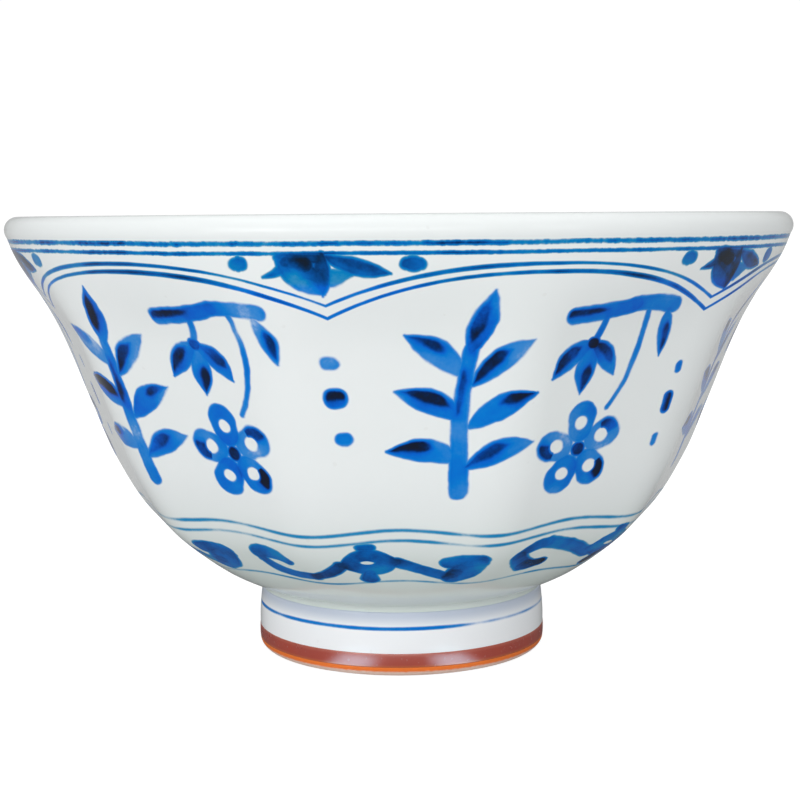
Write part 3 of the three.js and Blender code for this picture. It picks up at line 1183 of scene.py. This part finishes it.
def build_bowl(settings):
    """Spins the bowl, presses its sides flat and marks it out for painting."""
    size = settings.bowl
    outline = BowlOutline(size, settings.foot)
    inside = evenly(outline.inside(), 60)
    floor_height = size.seat_height + size.floor
    floor_line = [(outline.seat_radius * FLOOR_FLAT * k / 4, floor_height) for k in (3, 2, 1, 0)]
    under = [(outline.seat_radius * k / 8, size.seat_height) for k in range(9)]
    profile = [*under[:-1], *outline.outside, *outline.lip[1:-1], *inside, *floor_line]
    shape = turn(profile, BOWL_STEPS, closed=False)
    travelled = shape.verts.layers.float["travelled"]
    seat = outline.seat_radius
    wall_end = seat + outline.climbs[-1]
    lay_out_painting(shape, travelled, seat)
    zones = painted_zones(outline)
    for face in shape.faces:
        middle = sum(v[travelled] for v in face.verts) / len(face.verts)
        face.material_index = zone_of((middle - seat) / MM, zones)
    for vert in shape.verts:
        if seat <= vert[travelled] <= wall_end + 1e-6:
            flat = outline.flatness(vert.co.z)
            kept = 1 - flat * (1 - outline.side_share(angle_of(vert.co)))
            vert.co.x *= kept
            vert.co.y *= kept
    # Greenish pooled glaze with painted shade, darker towards the bottom of the bowl.
    plain = porcelain("White porcelain", settings.glaze, 8.0 * MM, 30.0 * MM)
    painted = [painted_porcelain(settings.glaze, outline, zone, i) for i, zone in enumerate(zones)]
    return make_piece("painted_bowl", shape, "bowl", [plain, *painted])


def painted_porcelain(glaze, outline, zone, index):
    """The glazed and painted porcelain of one zone."""
    name = ("Scroll band", "Panel foot", "Panel head", "Border")[index]
    return porcelain(name, glaze, 11.0 * MM, 26.0 * MM, lambda desk: paint_zone(desk, outline, zone))


def zone_of(climb, zones):
    """Material index of a place on the wall: 0 off it, then one for each zone."""
    for i, (low, high) in enumerate(zones):
        if low <= climb < high:
            return i + 1
    return 0


def lay_out_painting(shape, travelled, seat):
    """Gives the bowl its UV map: turns round the cup from the front, and the climb."""
    painting = shape.loops.layers.uv.new(PAINTING)
    for face in shape.faces:
        middle = angle_of(face.calc_center_median())
        for loop in face.loops:
            place = loop.vert.co
            angle = angle_of(place) if place.xy.length > 1e-6 else middle
            angle += 2 * math.pi * round((middle - angle) / (2 * math.pi))
            climb = (loop.vert[travelled] - seat) / MM
            loop[painting].uv = (angle / (2 * math.pi), climb / CLIMB_UNIT)


def flank_radius(foot, z):
    """Outside of the foot ring at a height."""
    down = min(max((foot.height - z) / (foot.height - foot.widest_height), 0.0), 1.0)
    return foot.radius - foot.narrowing * (1 - math.sin(down * math.pi / 2))


def build_foot(settings):
    """Spins the foot ring, its lower corners rounded and its contact flat wiped bare."""
    foot = settings.foot
    inner_top = foot.radius - foot.narrowing - foot.wall
    inner_bottom = inner_top + foot.opening
    outer_corner = (flank_radius(foot, foot.rounding) - foot.rounding, foot.rounding)
    inner_corner = (inner_bottom + foot.rounding, foot.rounding)
    drop = foot.height - foot.rounding
    flank = [foot.rounding + drop * i / 24 for i in range(1, 25)]
    inner_wall = [(inner_top + foot.opening * i / 12, foot.height - drop * i / 12) for i in range(12)]
    profile = [
        *arc(outer_corner, foot.rounding, -90, 0, 10),
        *((flank_radius(foot, z), z) for z in flank),
        *inner_wall,
        *arc(inner_corner, foot.rounding, -180, -90, 10),
    ]
    shape = turn(profile, FOOT_STEPS)
    glaze = foot_porcelain(settings.glaze, foot)
    return make_piece("turned_foot", shape, "foot_ring", [glaze])


def build_slip(settings):
    """Spins the slip that joins foot and bowl, wiped hollow in both corners."""
    foot = settings.foot
    outline = BowlOutline(settings.bowl, foot)
    low, high = slip_low[2], slip_high[2]
    outer = foot.radius - foot.narrowing
    inner = outer - foot.wall
    reach = foot.fillet
    (r0, z0), (r1, z1) = outline.outside[:2]
    slope = math.atan2(z1 - z0, r1 - r0)
    setback = reach * math.tan(math.pi / 4 - slope / 2)
    sunk = 0.015 * MM  # so that the fillet's ends run under the surfaces that it meets
    centre = (outer + reach - sunk, high - setback - sunk)
    profile = [
        (inner, low),
        *arc(centre, reach, 180, 90 + math.degrees(slope), 12),
        (inner, high),
        *arc((inner - 0.5 * reach, high - 0.5 * reach), 0.5 * reach, 90, 0, 8),
    ]
    shape = turn(profile, FOOT_STEPS)
    # The slip is pooled greenish and painted darker as painted shade in the corner under the bowl.
    glaze = porcelain("Fired slip", settings.glaze, 7.5 * MM, 12.5 * MM)
    return make_piece("wiped_slip", shape, "luting_slip", [glaze])


def build_band(settings):
    """Spins the brushed band of iron glaze, thinning out at both edges."""
    foot = settings.foot
    low, high = band_low[2], band_high[2]
    heights = [low + (high - low) * i / 20 for i in range(21)]
    coat = [0.05 * MM * math.sin(math.pi * i / 20) ** 0.5 for i in range(21)]
    outer = [(flank_radius(foot, z) + proud, z) for z, proud in zip(heights, coat)]
    inner = [(flank_radius(foot, z) - 0.3 * MM, z) for z in reversed(heights)]
    shape = turn([*outer, *inner], FOOT_STEPS)
    return make_piece("brushed_band", shape, "iron_band", [iron_glaze(settings.glaze)])


# ---- stage ----


def build_stage(settings):
    """The camera, a seamless white sweep, and soft lights."""
    stage = settings.stage
    scene = bpy.context.scene
    scene.view_settings.view_transform = "Standard"
    lens = bpy.data.cameras.new("Camera")
    lens.lens = stage.lens
    lens.sensor_width = FILM_WIDTH
    lens.clip_start = 0.01
    camera = bpy.data.objects.new("Camera", lens)
    camera.matrix_world = (
        Matrix.Translation((0.0, -stage.distance, stage.eye_height))
        @ Matrix.Rotation(math.pi / 2 - stage.pitch, 4, "X")
        @ Matrix.Rotation(-stage.roll, 4, "Z")
    )
    scene.collection.objects.link(camera)
    scene.camera = camera
    build_floor()
    build_lights()
    build_room()


def build_floor():
    """A pale sweep that runs into the white room, and is seen through from below."""
    shape = bmesh.new()
    bmesh.ops.create_circle(shape, cap_ends=True, radius=FLOOR_RADIUS, segments=96)
    mesh = bpy.data.meshes.new("floor")
    shape.to_mesh(mesh)
    shape.free()
    mesh.materials.append(floor_paper())
    floor = bpy.data.objects.new("floor", mesh)
    bpy.context.scene.collection.objects.link(floor)


def floor_paper():
    """White paper that glows behind the cup, with two bright strips that the iron band mirrors."""
    material, desk, shader = new_material("Floor")
    position = desk.object_position()
    path = desk.node("ShaderNodeLightPath").outputs
    paper = desk.math("MULTIPLY_ADD", desk.noise(position, 3.0, detail=2.0), 0.04, 0.48)
    paper = desk.math("MULTIPLY_ADD", path["Is Camera Ray"], -0.25, paper)
    paper = desk.math("MULTIPLY_ADD", path["Is Glossy Ray"], -0.38, paper, clamp=True)
    desk.feed(shader.inputs["Base Color"], desk.join(paper, paper, paper))
    shader.inputs["Roughness"].default_value = 0.9
    shader.inputs["Specular IOR Level"].default_value = 0.0
    away = desk.vector("LENGTH", position)
    seen = desk.smooth(away, 0.05, 0.35, 0.92, 1.0)
    turned = desk.degrees_round(position)
    clear_of_cup = desk.smooth(away, 0.05, 0.12)
    behind = desk.math("MULTIPLY", desk.smooth(desk.math("ABSOLUTE", turned), 50.0, 95.0), clear_of_cup)
    glow = desk.blend(path["Is Glossy Ray"], FLOOR_GLOW, desk.blend(behind, 0.08, 0.34))
    lit = desk.blend(path["Is Camera Ray"], glow, seen)
    # The strips lie close to the foot and shine at a slant, so that the bowl doesn't show them.
    mirrored = 0.0
    for middle, half in MIRRORED_SOFTBOXES:
        off = desk.math("ABSOLUTE", desk.math("SUBTRACT", turned, middle))
        mirrored = desk.math("ADD", mirrored, desk.smooth(off, half - 6.0, half + 6.0, MIRROR_STRENGTH, 0.0))
    mirrored = desk.math("MULTIPLY", mirrored, desk.smooth(away, 0.031, 0.037, 1.0, 0.0))
    slanting = desk.smooth(desk.node("ShaderNodeLayerWeight").outputs["Facing"], 0.3, 0.5)
    mirrored = desk.math("MULTIPLY", mirrored, slanting)
    gloss = desk.math("MULTIPLY", mirrored, path["Is Glossy Ray"])
    desk.feed(shader.inputs["Emission Strength"], desk.math("ADD", lit, gloss))
    tint = desk.math("MULTIPLY", gloss, 0.5, clamp=True)
    desk.feed(shader.inputs["Emission Color"], desk.mix(tint, WHITE_LIGHT, MIRROR_COLOUR))
    from_below = desk.node("ShaderNodeNewGeometry").outputs["Backfacing"]
    desk.feed(shader.inputs["Alpha"], desk.math("SUBTRACT", 1.0, from_below))
    return material


def soft_light(name, place, size, power):
    """A rectangular softbox that faces the cup."""
    lamp = bpy.data.lights.new(name, "AREA")
    lamp.shape = "RECTANGLE"
    lamp.size, lamp.size_y = size
    lamp.energy = power
    light = bpy.data.objects.new(name, lamp)
    facing = (CUP_MIDDLE - Vector(place)).to_track_quat("-Z", "Y")
    light.matrix_world = Matrix.Translation(place) @ facing.to_matrix().to_4x4()
    bpy.context.scene.collection.objects.link(light)


def build_lights():
    """A broad softbox low in front, a narrow one to either side, and one overhead."""
    soft_light("front softbox", (-0.12, -0.78, 0.1), (0.9, 0.3), 2.95)
    soft_light("left softbox", (-0.41, -0.47, 0.1), (0.2, 0.28), 0.6)
    soft_light("right softbox", (0.41, -0.46, 0.1), (0.16, 0.28), 0.26)
    soft_light("overhead softbox", (0.0, -0.05, 0.75), (0.9, 0.9), 3.3)


def build_room():
    """A room that is white to the eye. As a light it is dimmer in front, where the softboxes are."""
    world = bpy.data.worlds.new("Room")
    world.use_nodes = True
    desk = Desk(world.node_tree)
    background = world.node_tree.nodes["Background"]
    path = desk.node("ShaderNodeLightPath").outputs
    direction = desk.node("ShaderNodeTexCoord").outputs["Generated"]
    behind = desk.smooth(desk.split(direction)[1], 0.0, 0.6)
    mirrored = desk.blend(behind, 0.1, 0.34)
    strength = desk.blend(path["Is Glossy Ray"], desk.blend(behind, 0.43, 0.55), mirrored)
    strength = desk.blend(path["Is Camera Ray"], strength, 1.03)
    desk.feed(background.inputs["Strength"], strength)
    background.inputs["Color"].default_value = rgba(WHITE_LIGHT)
    bpy.context.scene.world = world


class TeacupSettings(bpy.types.PropertyGroup):
    """All of the teacup's sizes and colours"""

    bowl: PointerProperty(type=BowlSettings)
    foot: PointerProperty(type=FootSettings)
    glaze: PointerProperty(type=GlazeSettings)
    stage: PointerProperty(type=StageSettings)


class TEACUP_OT_mix_glazes(bpy.types.Operator):
    """Makes the node groups that the glazes and the brushwork share"""

    bl_idname = "teacup.mix_glazes"
    bl_label = "Mix Glazes"

    def execute(self, context):
        build_shared_groups()
        return {"FINISHED"}


class TEACUP_OT_bowl(bpy.types.Operator):
    """Turns, presses and paints the bowl"""

    bl_idname = "teacup.bowl"
    bl_label = "Bowl"

    def execute(self, context):
        build_bowl(context.scene.teacup)
        return {"FINISHED"}


class TEACUP_OT_foot(bpy.types.Operator):
    """Turns the foot ring"""

    bl_idname = "teacup.foot"
    bl_label = "Foot Ring"

    def execute(self, context):
        build_foot(context.scene.teacup)
        return {"FINISHED"}


class TEACUP_OT_slip(bpy.types.Operator):
    """Fills the joint between foot and bowl with slip"""

    bl_idname = "teacup.slip"
    bl_label = "Luting Slip"

    def execute(self, context):
        build_slip(context.scene.teacup)
        return {"FINISHED"}


class TEACUP_OT_band(bpy.types.Operator):
    """Brushes the iron band round the foot"""

    bl_idname = "teacup.band"
    bl_label = "Iron Band"

    def execute(self, context):
        build_band(context.scene.teacup)
        return {"FINISHED"}


class TEACUP_OT_stage(bpy.types.Operator):
    """Sets up the camera, the floor and the lights"""

    bl_idname = "teacup.stage"
    bl_label = "Stage"

    def execute(self, context):
        build_stage(context.scene.teacup)
        return {"FINISHED"}


OPERATORS = (
    TEACUP_OT_stage,
    TEACUP_OT_mix_glazes,
    TEACUP_OT_bowl,
    TEACUP_OT_foot,
    TEACUP_OT_slip,
    TEACUP_OT_band,
)


class TEACUP_PT_panel(bpy.types.Panel):
    """Lists the teacup's operators and settings"""

    bl_idname = "TEACUP_PT_panel"
    bl_label = "Teacup"
    bl_space_type = "VIEW_3D"
    bl_region_type = "UI"
    bl_category = "Teacup"

    def draw(self, context):
        layout = self.layout
        settings = context.scene.teacup
        for operator in OPERATORS:
            layout.operator(operator.bl_idname)
        for part in ("bowl", "foot", "glaze", "stage"):
            box = layout.box()
            box.label(text=part.title())
            group = getattr(settings, part)
            for name in group.__annotations__:
                box.prop(group, name)


SETTINGS = (BowlSettings, FootSettings, GlazeSettings, StageSettings, TeacupSettings)
CLASSES = (*SETTINGS, *OPERATORS, TEACUP_PT_panel)


def register():
    for cls in CLASSES:
        bpy.utils.register_class(cls)
    bpy.types.Scene.teacup = PointerProperty(type=TeacupSettings)


def unregister():
    del bpy.types.Scene.teacup
    for cls in reversed(CLASSES):
        bpy.utils.unregister_class(cls)


def main():
    """Makes the stage and every piece."""
    register()
    bpy.ops.teacup.stage()
    bpy.ops.teacup.mix_glazes()
    bpy.ops.teacup.bowl()
    bpy.ops.teacup.foot()
    bpy.ops.teacup.slip()
    bpy.ops.teacup.band()


if __name__ == "__main__":
    main()
